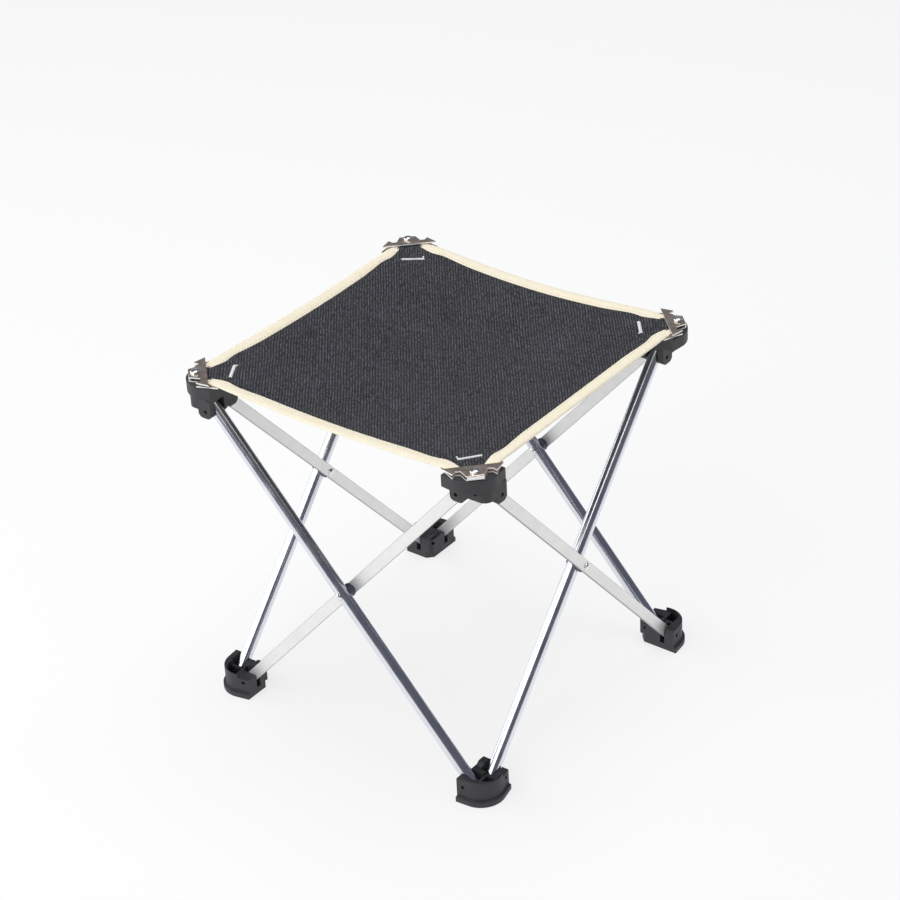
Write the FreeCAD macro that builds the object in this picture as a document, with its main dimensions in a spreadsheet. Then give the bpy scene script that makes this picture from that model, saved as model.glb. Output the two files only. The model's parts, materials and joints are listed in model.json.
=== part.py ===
import FreeCAD, Part
import math
import os

import Sketcher

# Folding camp stool: four scissor pairs (one round tube and one flat bar on each side) joined by
# four plastic corner hubs and four plastic feet, with a fabric seat clamped to the hubs.
#
# Frame: millimetres, +Z up, origin on the ground under the middle of the seat.
# Corner 0 (front) is at +X -Y, and each next corner is a quarter turn on: right, back, left.
# Side k runs from corner k to corner k + 1. Corner pieces are drawn at corner 0 and turned.

CORNERS = ["front", "right", "back", "left"]
SIDES = ["front_right", "right_back", "back_left", "left_front"]
OUTER_BAR = ["flat", "flat", "tube", "tube"]
INNER_BAR = ["tube", "tube", "flat", "flat"]

SIZES = {
    # Linkage: pins lie this far along each side from its middle.
    "pivot_half": 111.0,
    "foot_pin_z": 13.8,
    "pin_rise": 251.3,
    "outer_plane": 128.0,
    "inner_plane": 118.4,
    "tube_od": 10.0,
    "tube_wall": 1.0,
    "flat_width": 9.0,
    "flat_thick": 3.5,
    "flat_edge_round": 0.5,
    "bar_overhang": 5.0,
    # Pins, rivets and their gaps.
    "pin_rad": 1.5,
    "pin_bore_gap": 0.02,
    "pivot_gap": 0.07,
    "open_pivot_gap": 0.25,
    "slot_gap": 0.4,
    "pin_recess": 1.2,
    "rivet_head_rad": 3.1,
    "rivet_head_rise": 1.5,
    "spacer_rad": 5.4,
    "spacer_gap": 0.12,
    # Faces shared by hub and foot.
    "inner_face": 105.8,
    "corner_cut": 5.1,
    "slot_reach": 118.6,
    "blind_bore": 120.2,
    "inner_rib": 107.8,
    # Hub, heights from its pins.
    "hub_top": 19.4,
    "hub_end": 137.5,
    "hub_side": 138.8,
    "hub_shoulder": 117.5,
    "hub_round": 20.9,
    "hub_edge_round": 0.8,
    "band_bottom": 9.7,
    "wall_bottom": 0.5,
    "wall_round": 7.0,
    "slot_roof": 7.8,
    "lobe_drop": 5.6,
    "lobe_round": 4.0,
    "lobe_reach": 118.0,
    "outer_lobe_start": 119.6,
    "inner_lobe_face": 128.8,
    "outer_lobe_face": 138.1,
    # Foot, heights from the ground.
    "sole_depth": 6.0,
    "sole_flare": 1.9,
    "sole_flare_rise": 4.5,
    "sole_outer_tip": 141.0,
    "sole_inner_tip": 131.4,
    "sole_far": 138.2,
    "sole_round": 19.0,
    "foot_wall_top": 21.0,
    "foot_outer_tip": 139.0,
    "foot_inner_tip": 129.4,
    "foot_far": 136.3,
    "foot_round": 17.5,
    "foot_edge_round": 0.8,
    "slot_floor": 5.6,
    "rib_end": 122.6,
    "rib_peak": 21.8,
    "rib_round": 3.0,
    "rib_shoulder": 19.0,
    "pocket_near": 120.8,
    "pocket_far": 131.6,
    "pocket_round": 10.0,
    "pocket_floor": 7.0,
    "block_drop": 3.6,
    # Clamp: along = outward from the screw on the corner's diagonal, wide = across it.
    "screw_at": 127.7,
    "screw_rad": 1.9,
    "screw_bore_gap": 0.05,
    "screw_hole_gap": 0.35,
    "screw_head_rad": 3.4,
    "screw_head_rise": 2.2,
    "screw_length": 14.5,
    "recess_width": 0.9,
    "recess_length": 3.6,
    "recess_depth": 1.1,
    "plate_thick": 1.0,
    "plate_gap": 1.9,
    "plate_seat": 0.1,
    "upper_inner": 8.8,
    "upper_tip": 21.5,
    "lower_inner": 15.5,
    "lower_tip": 21.9,
    "plate_shoulder": 15.5,
    "plate_notch": 3.5,
    "notch_out": 13.0,
    "notch_in": 9.5,
    "tongue_out": 5.0,
    "tongue_half": 6.0,
    # Seat: the fabric bends down from a line across each hub's inner corner.
    "fabric_thick": 1.1,
    "fabric_lift": 0.15,
    "fold_line": 16.2,
    "seam_gap": 0.3,
    "seat_half": 132.6,
    "binding_width": 7.0,
    "tab_half": 9.0,
    "tab_inset": 1.0,
    "seat_slope": 3.0,
}

doc = FreeCAD.newDocument("CampStool")
sheet = doc.addObject("Spreadsheet::Sheet", "Sizes")
for row, (alias, value) in enumerate(SIZES.items(), start=1):
    sheet.set(f"A{row}", alias)
    sheet.set(f"B{row}", str(value))
    sheet.setAlias(f"B{row}", alias)
doc.recompute()


def size(expression):
    """The number that an expression of the sheet's sizes gives now."""
    return float(sheet.evalExpression(linked(expression)))


def linked(expression):
    """An expression with each size's name turned into a reference to the sheet."""
    words = []
    word = ""
    for letter in expression + " ":
        if letter.isalnum() or letter in "_.":
            word += letter
            continue
        words.append(f"Sizes.{word}" if word in SIZES else word)
        words.append(letter)
        word = ""
    return "".join(words).strip()


def bind(thing, prop, expression):
    thing.setExpression(prop, linked(expression))


# ---- Sketches and features ---------------------------------------------------------------


def new_sketch(body, name, plane, lift):
    """An empty sketch on one of the body's origin planes, moved along the plane's normal."""
    sketch = body.newObject("Sketcher::SketchObject", name)
    face = [f for f in body.Origin.OriginFeatures if f.Role == plane][0]
    sketch.AttachmentSupport = [(face, "")]
    sketch.MapMode = "FlatFace"
    bind(sketch, "AttachmentOffset.Base.z", lift)
    return sketch


def hold(sketch, geometry, point, across, up):
    """Places one point of the sketch's geometry at two expressions from the sketch's origin."""
    for kind, expression in (("DistanceX", across), ("DistanceY", up)):
        place = Sketcher.Constraint(kind, -1, 1, geometry, point, size(expression))
        number = sketch.addConstraint(place)
        bind(sketch, f"Constraints[{number}]", expression)


def outline(body, name, plane, corners, lift="0"):
    """A closed outline of straight lines. Each corner is two expressions, and a third, its
    radius, where it is rounded. The rounded corners turn counterclockwise."""
    sketch = new_sketch(body, name, plane, lift)
    points = [FreeCAD.Vector(size(corner[0]), size(corner[1]), 0) for corner in corners]
    count = len(points)
    for i in range(count):
        sketch.addGeometry(Part.LineSegment(points[i], points[(i + 1) % count]))
    for i, corner in enumerate(corners):
        if len(corner) == 3:
            round_corner(sketch, points, i, corner)
        else:
            before = i - 1 if i else count - 1
            sketch.addConstraint(Sketcher.Constraint("Coincident", before, 2, i, 1))
            hold(sketch, i, 1, corner[0], corner[1])
    return sketch


def round_corner(sketch, points, i, corner):
    """Joins line i - 1 to line i by an arc, with a point held where their ends would meet."""
    here = points[i]
    radius = size(corner[2])
    back = (points[i - 1] - here).normalize()
    ahead = (points[(i + 1) % len(points)] - here).normalize()
    half_angle = back.getAngle(ahead) / 2
    centre = here + (back + ahead).normalize() * (radius / math.sin(half_angle))
    reach = radius / math.tan(half_angle)
    ends = [here + back * reach, here + ahead * reach]
    angles = [math.atan2(end.y - centre.y, end.x - centre.x) for end in ends]
    before = Part.LineSegment(points[i - 1], ends[0])
    after = Part.LineSegment(ends[1], points[(i + 1) % len(points)])
    sketch.Geometry = [
        before if k == i - 1 else after if k == i else geometry
        for k, geometry in enumerate(sketch.Geometry)
    ]
    circle = Part.Circle(centre, FreeCAD.Vector(0, 0, 1), radius)
    arc = sketch.addGeometry(Part.ArcOfCircle(circle, angles[0], angles[1]))
    apex = sketch.addGeometry(Part.Point(here), True)
    hold(sketch, apex, 1, corner[0], corner[1])
    sketch.addConstraint(Sketcher.Constraint("PointOnObject", apex, 1, i - 1))
    sketch.addConstraint(Sketcher.Constraint("PointOnObject", apex, 1, i))
    sketch.addConstraint(Sketcher.Constraint("Tangent", i - 1, 2, arc, 1))
    sketch.addConstraint(Sketcher.Constraint("Tangent", arc, 2, i, 1))
    number = sketch.addConstraint(Sketcher.Constraint("Radius", arc, radius))
    bind(sketch, f"Constraints[{number}]", corner[2])


def circles(body, name, plane, rounds, lift="0"):
    """Circles, each a centre across, a centre up and a radius, as expressions."""
    sketch = new_sketch(body, name, plane, lift)
    for i, (across, up, radius) in enumerate(rounds):
        centre = FreeCAD.Vector(size(across), size(up), 0)
        circle = Part.Circle(centre, FreeCAD.Vector(0, 0, 1), size(radius))
        sketch.addGeometry(circle)
        number = sketch.addConstraint(Sketcher.Constraint("Radius", i, size(radius)))
        bind(sketch, f"Constraints[{number}]", radius)
        hold(sketch, i, 3, across, up)
    return sketch


def box_outline(low_across, high_across, low_up, high_up):
    return [
        (low_across, low_up),
        (high_across, low_up),
        (high_across, high_up),
        (low_across, high_up),
    ]


def pad(body, name, sketch, length, symmetric=False):
    feature = body.newObject("PartDesign::Pad", name)
    feature.Profile = sketch
    bind(feature, "Length", length)
    if symmetric:
        feature.SideType = "Symmetric"
    doc.recompute()
    return feature


def pocket(body, name, sketch, length, reverse=False, symmetric=False):
    """A pocket, which must take material away."""
    before = body.Tip.Shape.Volume
    feature = body.newObject("PartDesign::Pocket", name)
    feature.Profile = sketch
    feature.Reversed = reverse
    if symmetric:
        feature.SideType = "Symmetric"
    bind(feature, "Length", length)
    doc.recompute()
    if feature.Shape.Volume >= before:
        raise ValueError(f"{body.Name}.{name} cuts nothing")
    return feature


def revolve(body, name, sketch):
    feature = body.newObject("PartDesign::Revolution", name)
    feature.Profile = sketch
    feature.ReferenceAxis = (sketch, ["V_Axis"])
    feature.Angle = 360
    doc.recompute()
    return feature


def edges_where(body, wanted, kind):
    """Names of the body's edges of one kind whose ends all pass the test."""
    names = []
    for number, edge in enumerate(body.Tip.Shape.Edges, start=1):
        if kind(edge) and all(wanted(vertex.Point) for vertex in edge.Vertexes):
            names.append(f"Edge{number}")
    return names


def any_edge(edge):
    return True


def fillet(body, name, wanted, radius, kind=any_edge):
    names = edges_where(body, wanted, kind)
    if not names:
        raise ValueError(f"{body.Name}.{name} finds no edge")
    base = body.Tip
    feature = body.newObject("PartDesign::Fillet", name)
    feature.Base = (base, names)
    bind(feature, "Radius", radius)
    doc.recompute()
    if "Invalid" in feature.State:
        raise ValueError(f"{body.Name}.{name} can't round {names}")
    return feature


def near(number, expression):
    return abs(number - size(expression)) < 0.01


def new_body(label):
    body = doc.addObject("PartDesign::Body", label)
    body.Label = label
    return body


def turned(quarters, placement):
    """A placement at corner or side 0, turned on by quarter turns about the stool's middle."""
    turn = FreeCAD.Rotation(FreeCAD.Vector(0, 0, 1), 90 * quarters)
    return FreeCAD.Placement(FreeCAD.Vector(0, 0, 0), turn).multiply(placement)


def raised(expression):
    return FreeCAD.Placement(FreeCAD.Vector(0, 0, size(expression)), FreeCAD.Rotation())


# ---- Hubs and feet -----------------------------------------------------------------------

HALF_THICK = {"tube": "tube_od / 2", "flat": "flat_thick / 2"}
HUB_Z = "foot_pin_z + pin_rise"
PIN_BORE = "pin_rad + pin_bore_gap"


def slot_sides(plane, bar):
    half = f"({HALF_THICK[bar]} + slot_gap)"
    return f"{plane} - {half}", f"{plane} + {half}"


def minus(pairs):
    """Corner 0 lies at -Y: turns pairs of distances along X and Y into sketch points."""
    return [(along_x, f"-({along_y})", *rounding) for along_x, along_y, *rounding in pairs]


def hub(corner):
    """Corner hub. Its previous side's bar runs in the inner slot, its next side's in the outer."""
    body = new_body(f"hub_{CORNERS[corner]}")
    body.Placement = turned(corner, raised(HUB_Z))
    band = minus([
        ("inner_face", "inner_face + corner_cut"),
        ("inner_face", "hub_end"),
        ("hub_shoulder", "hub_side"),
        ("hub_side", "hub_side", "hub_round"),
        ("hub_side", "hub_shoulder"),
        ("hub_end", "inner_face"),
        ("inner_face + corner_cut", "inner_face"),
    ])
    sketch = outline(body, "BandOutline", "XY_Plane", band, "band_bottom")
    pad(body, "Band", sketch, "hub_top - band_bottom")
    at_top = lambda p: near(p.z, "hub_top")
    fillet(body, "TopEdge", at_top, "hub_edge_round")
    wall = minus([
        ("inner_face", "inner_face + corner_cut"),
        ("inner_face", "inner_lobe_face"),
        ("outer_lobe_face", "inner_lobe_face", "wall_round"),
        ("outer_lobe_face", "inner_face"),
        ("inner_face + corner_cut", "inner_face"),
    ])
    sketch = outline(body, "WallOutline", "XY_Plane", wall, "wall_bottom")
    pad(body, "Wall", sketch, "band_bottom - wall_bottom")

    lobe = box_outline("inner_face", "lobe_reach", "-lobe_drop", "band_bottom")
    sketch = outline(body, "InnerLobeOutline", "XZ_Plane", lobe, "inner_rib")
    pad(body, "InnerLobe", sketch, "inner_lobe_face - inner_rib")
    at_bottom = lambda p: near(p.z, "-lobe_drop")
    inner_ends = lambda edge: edge.Length > size("lobe_reach - inner_face")
    fillet(body, "InnerLobeEnds", at_bottom, "lobe_round", inner_ends)
    lobe = box_outline("-lobe_reach", "-inner_face", "-lobe_drop", "band_bottom")
    sketch = outline(body, "OuterLobeOutline", "YZ_Plane", lobe, "outer_lobe_start")
    pad(body, "OuterLobe", sketch, "outer_lobe_face - outer_lobe_start")
    outer_bottom = lambda p: near(p.z, "-lobe_drop") and p.x > size("outer_lobe_start") - 0.01
    outer_ends = lambda edge: edge.Length > size("lobe_reach - inner_face")
    fillet(body, "OuterLobeEnds", outer_bottom, "lobe_round", outer_ends)

    low, high = slot_sides("inner_plane", INNER_BAR[corner - 1])
    slot = minus(box_outline("inner_face - 1", "slot_reach", low, high))
    sketch = outline(body, "InnerSlotOutline", "XY_Plane", slot, "slot_roof")
    pocket(body, "InnerSlot", sketch, "slot_roof + lobe_drop + 1")
    low, high = slot_sides("outer_plane", OUTER_BAR[corner])
    slot = minus(box_outline(low, high, "inner_face - 1", "slot_reach"))
    sketch = outline(body, "OuterSlotOutline", "XY_Plane", slot, "slot_roof")
    pocket(body, "OuterSlot", sketch, "slot_roof + lobe_drop + 1")

    bore = circles(body, "InnerBoreOutline", "XZ_Plane", [("pivot_half", "0", PIN_BORE)])
    pocket(body, "InnerBore", bore, "2 * hub_side", reverse=True)
    bore = circles(
        body, "OuterBoreOutline", "YZ_Plane", [("-pivot_half", "0", PIN_BORE)], "blind_bore")
    pocket(body, "OuterBore", bore, "hub_side", reverse=True)
    screw = [("screw_at", "-screw_at", "screw_rad + screw_bore_gap")]
    bore = circles(body, "ScrewBoreOutline", "XY_Plane", screw, "hub_top")
    pocket(body, "ScrewBore", bore, "screw_length")
    return body


def is_outer_rim(edge):
    """Of the sole's top edges, those beyond its straight inner faces and its cut corner."""
    middle = edge.valueAt((edge.FirstParameter + edge.LastParameter) / 2)
    inner = size("inner_face")
    outside = middle.x > inner + 0.5 and -middle.y > inner + 0.5
    return outside and middle.x - middle.y > 2 * inner + 12


def foot(corner):
    """Foot. Its previous side's bar stands in the outer slot, its next side's in the inner."""
    body = new_body(f"foot_{CORNERS[corner]}")
    body.Placement = turned(corner, raised("0"))
    sole = minus([
        ("inner_face", "inner_face + corner_cut"),
        ("inner_face", "sole_outer_tip"),
        ("sole_far", "sole_far", "sole_round"),
        ("sole_inner_tip", "inner_face"),
        ("inner_face + corner_cut", "inner_face"),
    ])
    sketch = outline(body, "SoleOutline", "XY_Plane", sole)
    pad(body, "Sole", sketch, "sole_depth")
    rim = edges_where(body, lambda p: near(p.z, "sole_depth"), is_outer_rim)
    rounded = body.Tip
    flare = body.newObject("PartDesign::Chamfer", "Flare")
    flare.Base = (rounded, rim)
    flare.ChamferType = "Two distances"
    bind(flare, "Size", "sole_flare")
    bind(flare, "Size2", "sole_flare_rise")
    doc.recompute()
    wall = minus([
        ("inner_face", "inner_face + corner_cut"),
        ("inner_face", "foot_outer_tip"),
        ("foot_far", "foot_far", "foot_round"),
        ("foot_inner_tip", "inner_face"),
        ("inner_face + corner_cut", "inner_face"),
    ])
    sketch = outline(body, "WallOutline", "XY_Plane", wall)
    pad(body, "Wall", sketch, "foot_wall_top")
    at_top = lambda p: near(p.z, "foot_wall_top")
    fillet(body, "TopEdge", at_top, "foot_edge_round")
    block = minus([
        ("inner_face - 1", "inner_face - 1"),
        ("inner_face - 1", "pocket_far"),
        ("pocket_far", "pocket_far", "pocket_round"),
        ("pocket_far", "inner_face - 1"),
    ])
    sketch = outline(body, "BlockTopOutline", "XY_Plane", block, "foot_wall_top - block_drop")
    pocket(body, "BlockTop", sketch, "block_drop + 1", reverse=True)
    rib = [
        ("-inner_face", "sole_depth"),
        ("-inner_face", "rib_peak", "rib_round"),
        ("-pivot_half - 3", "rib_peak", "rib_round"),
        ("-pivot_half - 6", "rib_shoulder"),
        ("-rib_end", "rib_shoulder"),
        ("-rib_end", "sole_depth"),
    ]
    sketch = outline(body, "RibOutline", "YZ_Plane", rib, "inner_rib")
    pad(body, "Rib", sketch, "slot_reach - inner_rib")

    low, high = slot_sides("inner_plane", INNER_BAR[corner])
    slot = minus(box_outline(low, high, "inner_face - 1", "slot_reach"))
    sketch = outline(body, "InnerSlotOutline", "XY_Plane", slot, "slot_floor")
    pocket(body, "InnerSlot", sketch, "rib_peak", reverse=True)
    low, high = slot_sides("outer_plane", OUTER_BAR[corner - 1])
    slot = minus(box_outline("inner_face - 1", "slot_reach", low, high))
    sketch = outline(body, "OuterSlotOutline", "XY_Plane", slot, "slot_floor")
    pocket(body, "OuterSlot", sketch, "rib_peak", reverse=True)
    middle = minus([
        ("pocket_near", "pocket_near"),
        ("pocket_near", "pocket_far"),
        ("pocket_far", "pocket_far", "pocket_round"),
        ("pocket_far", "pocket_near"),
    ])
    sketch = outline(body, "PocketOutline", "XY_Plane", middle, "pocket_floor")
    pocket(body, "CornerPocket", sketch, "rib_peak", reverse=True)

    bore = circles(
        body, "InnerBoreOutline", "YZ_Plane", [("-pivot_half", "foot_pin_z", PIN_BORE)])
    pocket(body, "InnerBore", bore, "2 * sole_far", reverse=True)
    bore = circles(
        body, "OuterBoreOutline", "XZ_Plane", [("pivot_half", "foot_pin_z", PIN_BORE)],
        "blind_bore")
    pocket(body, "OuterBore", bore, "sole_far", reverse=True)
    return body


# ---- Bars --------------------------------------------------------------------------------

BAR_HALF = "sqrt(pivot_half ^ 2 + (pin_rise / 2) ^ 2)"
OPEN_PIVOTS = {
    # Bar ends whose pin is not the tree's joint: they have a little more room.
    "flat_front_right": "top",
    "flat_back_left": "top",
    "tube_right_back": "top",
    "flat_right_back": "both",
}


def bar_placement(side, outer):
    """The bar's own X runs from its hub down to its foot, and its own Y faces outwards."""
    plane = "outer_plane" if outer else "inner_plane"
    slope = math.atan2(size("pin_rise"), size("2 * pivot_half"))
    along = 1 if outer else -1
    down = FreeCAD.Vector(0, along * math.cos(slope), -math.sin(slope))
    out = FreeCAD.Vector(1, 0, 0)
    turn = FreeCAD.Rotation(down, out, down.cross(out), "XYZ")
    middle = FreeCAD.Vector(size(plane), 0, size("foot_pin_z + pin_rise / 2"))
    return turned(side, FreeCAD.Placement(middle, turn))


def bar(side, kind):
    body = new_body(f"{kind}_{SIDES[side]}")
    full = f"2 * ({BAR_HALF} + bar_overhang)"
    end = f"({BAR_HALF} + bar_overhang)"
    if kind == "tube":
        rings = [("0", "0", "tube_od / 2"), ("0", "0", "tube_od / 2 - tube_wall")]
        pad(body, "Wall", circles(body, "Section", "YZ_Plane", rings), full, symmetric=True)
    else:
        edge = box_outline(f"-{end}", end, "-flat_width / 2", "flat_width / 2")
        strip = outline(body, "Strip", "XZ_Plane", edge)
        pad(body, "Bar", strip, "flat_thick", symmetric=True)
        at_end = lambda p: abs(p.x) > size(end) - 0.01
        across = lambda edge: abs(edge.Length - size("flat_thick")) < 0.01
        fillet(body, "Ends", at_end, "flat_width / 2 - 0.1", across)
        long_edge = lambda p: near(abs(p.z), "flat_width / 2")
        fillet(body, "LongEdges", long_edge, "flat_edge_round")
    loose = OPEN_PIVOTS.get(body.Label)
    snug = "pin_rad + pivot_gap"
    wide = "pin_rad + open_pivot_gap"
    holes = [
        (f"-{BAR_HALF}", "0", wide if loose else snug),
        ("0", "0", snug),
        (BAR_HALF, "0", wide if loose == "both" else snug),
    ]
    sketch = circles(body, "PinHoles", "XZ_Plane", holes)
    pocket(body, "Holes", sketch, "2 * tube_od", symmetric=True)
    body.Placement = bar_placement(side, OUTER_BAR[side] == kind)
    return body


# ---- Pins, rivets and spacers ------------------------------------------------------------


def group(label, quarters, pieces):
    """Separate solids in one node, drawn at corner 0 and turned to their own corner."""
    compound = doc.addObject("Part::Compound", label)
    compound.Label = label
    compound.Links = pieces
    compound.Placement = turned(quarters, raised("0"))
    return compound


def pin(name, along, start, end, height):
    """A pin at corner 0 along X or Y, between two distances from the stool's middle."""
    cylinder = doc.addObject("Part::Cylinder", name)
    bind(cylinder, "Radius", "pin_rad")
    bind(cylinder, "Height", f"({end}) - ({start})")
    doc.recompute()
    if along == "X":
        base = FreeCAD.Vector(size(start), -size("pivot_half"), size(height))
        turn = FreeCAD.Rotation(FreeCAD.Vector(0, 1, 0), 90)
    else:
        base = FreeCAD.Vector(size("pivot_half"), -size(start), size(height))
        turn = FreeCAD.Rotation(FreeCAD.Vector(1, 0, 0), 90)
    cylinder.Placement = FreeCAD.Placement(base, turn)
    return cylinder


def hub_pins(corner):
    name = CORNERS[corner]
    inner = pin(f"hub_inner_pin_{name}", "Y", "inner_rib + pin_recess",
                "inner_lobe_face - pin_recess", HUB_Z)
    outer = pin(f"hub_outer_pin_{name}", "X", "blind_bore + 0.1",
                "outer_lobe_face - pin_recess", HUB_Z)
    return group(f"hub_pins_{name}", corner, [inner, outer])


def foot_pins(corner):
    name = CORNERS[corner]
    inner = pin(f"foot_inner_pin_{name}", "X", "inner_rib + pin_recess",
                "foot_inner_tip - pin_recess", "foot_pin_z")
    outer = pin(f"foot_outer_pin_{name}", "Y", "blind_bore + 0.1",
                "foot_outer_tip - 2 * pin_recess", "foot_pin_z")
    return group(f"foot_pins_{name}", corner, [inner, outer])


def crossing_placement(side):
    """At the crossing, own Z pointing outwards from the middle of the tube."""
    plane = "outer_plane" if OUTER_BAR[side] == "tube" else "inner_plane"
    middle = FreeCAD.Vector(size(plane), 0, size("foot_pin_z + pin_rise / 2"))
    out = FreeCAD.Rotation(FreeCAD.Vector(0, 1, 0), 90)
    return turned(side, FreeCAD.Placement(middle, out))


def crossing_rivet(side):
    """Rivet through tube and flat bar, a low domed head on each side. It stays with the tube."""
    body = new_body(f"crossing_rivet_{SIDES[side]}")
    tube_end = "(tube_od / 2)"
    flat_end = "(outer_plane - inner_plane + flat_thick / 2 + spacer_gap)"
    if OUTER_BAR[side] == "tube":
        low, high = f"-{flat_end}", tube_end
    else:
        low, high = f"-{tube_end}", flat_end
    half = [
        ("0", f"{low} - rivet_head_rise"),
        ("rivet_head_rad * 0.55", f"{low} - rivet_head_rise * 0.9"),
        ("rivet_head_rad * 0.9", f"{low} - rivet_head_rise * 0.5"),
        ("rivet_head_rad", low),
        ("pin_rad", low),
        ("pin_rad", high),
        ("rivet_head_rad", high),
        ("rivet_head_rad * 0.9", f"{high} + rivet_head_rise * 0.5"),
        ("rivet_head_rad * 0.55", f"{high} + rivet_head_rise * 0.9"),
        ("0", f"{high} + rivet_head_rise"),
    ]
    revolve(body, "Rivet", outline(body, "Profile", "XZ_Plane", half))
    body.Placement = crossing_placement(side)
    return body


def crossing_spacer(side):
    """Plastic spacer between tube and flat bar, hollowed to saddle the tube."""
    body = new_body(f"crossing_spacer_{SIDES[side]}")
    inwards = OUTER_BAR[side] == "tube"
    sign = "-" if inwards else ""
    near_end = "1.5"
    far_end = "(outer_plane - inner_plane - flat_thick / 2 - spacer_gap)"
    rings = [("0", "0", "spacer_rad"), ("0", "0", "pin_rad + pivot_gap")]
    start = f"{sign}{far_end}" if inwards else near_end
    sketch = circles(body, "Rings", "XY_Plane", rings, start)
    pad(body, "Disc", sketch, f"{far_end} - {near_end}")
    slope = math.degrees(math.atan2(size("pin_rise"), size("2 * pivot_half")))
    saddle = body.newObject("PartDesign::SubtractiveCylinder", "Saddle")
    bind(saddle, "Radius", "tube_od / 2 + pin_bore_gap")
    bind(saddle, "Height", "tube_od * 4")
    # The body's own X points down, so an outer tube leans one way and an inner tube the other.
    lean = slope if inwards else -slope
    along = FreeCAD.Vector(math.sin(math.radians(slope)), math.cos(math.radians(lean)), 0)
    along.y = math.copysign(along.y, lean)
    turn = FreeCAD.Rotation(FreeCAD.Vector(0, 0, 1), along)
    saddle.Placement = FreeCAD.Placement(along * -size("tube_od * 2"), turn)
    doc.recompute()
    body.Placement = crossing_placement(side)
    return body


# ---- Clamp and seat ----------------------------------------------------------------------

HUB_TOP = "foot_pin_z + pin_rise + hub_top"
SCREW_DIAGONAL = "screw_at * sqrt(2)"
UPPER_LEAF = "plate_seat + plate_thick + plate_gap"


def clamp_placement(corner, height="0"):
    """Origin on the screw's axis above the hub's top, own X outwards on the corner's diagonal."""
    turn = FreeCAD.Rotation(FreeCAD.Vector(0, 0, 1), -45)
    diagonal = turn.multVec(FreeCAD.Vector(size(SCREW_DIAGONAL), 0, 0))
    base = diagonal + FreeCAD.Vector(0, 0, size(f"{HUB_TOP} + {height}"))
    return turned(corner, FreeCAD.Placement(base, turn))


def mirrored_outline(half):
    """Closes a half outline, given from the inner end to the outer, across the diagonal."""
    other = [(along, f"-({wide})") for along, wide in reversed(half)]
    return half + other


def clamp_plate(corner):
    """Sheet-metal clamp, folded at its tongue into two leaves that hold the fabric between."""
    body = new_body(f"clamp_plate_{CORNERS[corner]}")
    front = [
        ("0", "plate_shoulder"),
        ("-plate_notch", "notch_out"),
        ("-plate_notch", "notch_in"),
        ("tongue_out", "tongue_half"),
    ]
    leaf = mirrored_outline([("-lower_inner", "lower_tip"), *front])
    lower = outline(body, "LowerLeafOutline", "XY_Plane", leaf, "plate_seat")
    pad(body, "LowerLeaf", lower, "plate_thick")
    fold = box_outline("tongue_out - plate_thick", "tongue_out", "-tongue_half", "tongue_half")
    sketch = outline(body, "FoldOutline", "XY_Plane", fold, "plate_seat")
    pad(body, "Fold", sketch, f"{UPPER_LEAF} + plate_thick - plate_seat")
    leaf = mirrored_outline([("-upper_inner", "upper_tip"), *front])
    upper = outline(body, "UpperLeafOutline", "XY_Plane", leaf, UPPER_LEAF)
    pad(body, "UpperLeaf", upper, "plate_thick")
    top = size(f"{UPPER_LEAF} + plate_thick")
    bottom = size("plate_seat")
    bend = lambda p: near(p.x, "tongue_out") and (
        abs(p.z - top) < 0.01 or abs(p.z - bottom) < 0.01)
    fillet(body, "Bend", bend, "plate_thick * 0.9")
    hole = [("0", "0", "screw_rad + screw_hole_gap")]
    sketch = circles(body, "HoleOutline", "XY_Plane", hole, "plate_seat")
    pocket(body, "Hole", sketch, f"{UPPER_LEAF} + plate_thick", reverse=True)
    body.Placement = clamp_placement(corner)
    return body


def clamp_screw(corner):
    """Cross-head screw through the clamp into the hub."""
    body = new_body(f"clamp_screw_{CORNERS[corner]}")
    seat = f"({UPPER_LEAF} + plate_thick)"
    half = [
        ("0", "1 - screw_length"),
        ("screw_rad - 1", "1 - screw_length"),
        ("screw_rad", "2 - screw_length"),
        ("screw_rad", seat),
        ("screw_head_rad", seat),
        ("screw_head_rad", f"{seat} + screw_head_rise * 0.45"),
        ("screw_head_rad * 0.88", f"{seat} + screw_head_rise * 0.78"),
        ("screw_head_rad * 0.55", f"{seat} + screw_head_rise"),
        ("0", f"{seat} + screw_head_rise"),
    ]
    revolve(body, "Screw", outline(body, "Profile", "XZ_Plane", half))
    top = f"{seat} + screw_head_rise"
    for name, long_way in (("RecessAlong", True), ("RecessAcross", False)):
        long_side = ("-recess_length / 2", "recess_length / 2")
        short_side = ("-recess_width / 2", "recess_width / 2")
        sides = (*long_side, *short_side) if long_way else (*short_side, *long_side)
        sketch = outline(body, f"{name}Outline", "XY_Plane", box_outline(*sides), top)
        pocket(body, name, sketch, "recess_depth")
    body.Placement = clamp_placement(corner)
    return body


def fabric_placement(corner):
    return clamp_placement(corner, "plate_seat + plate_thick + fabric_lift")


def seat_point(along_x, along_y):
    """A point on the seat at corner 0, as distances outwards along and across its diagonal."""
    across = f"(({along_x}) - ({along_y})) / sqrt(2)"
    outwards = f"(({along_x}) + ({along_y})) / sqrt(2) - {SCREW_DIAGONAL}"
    return outwards, across


def half_width(distance, line):
    """Half the seat's width across a corner, on a line this far inward from the screw, for an
    edge at a distance from the stool's middle."""
    return f"({distance}) * sqrt(2) - ({SCREW_DIAGONAL} - {line})"


FABRIC_EDGE = "seat_half - binding_width"


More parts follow.
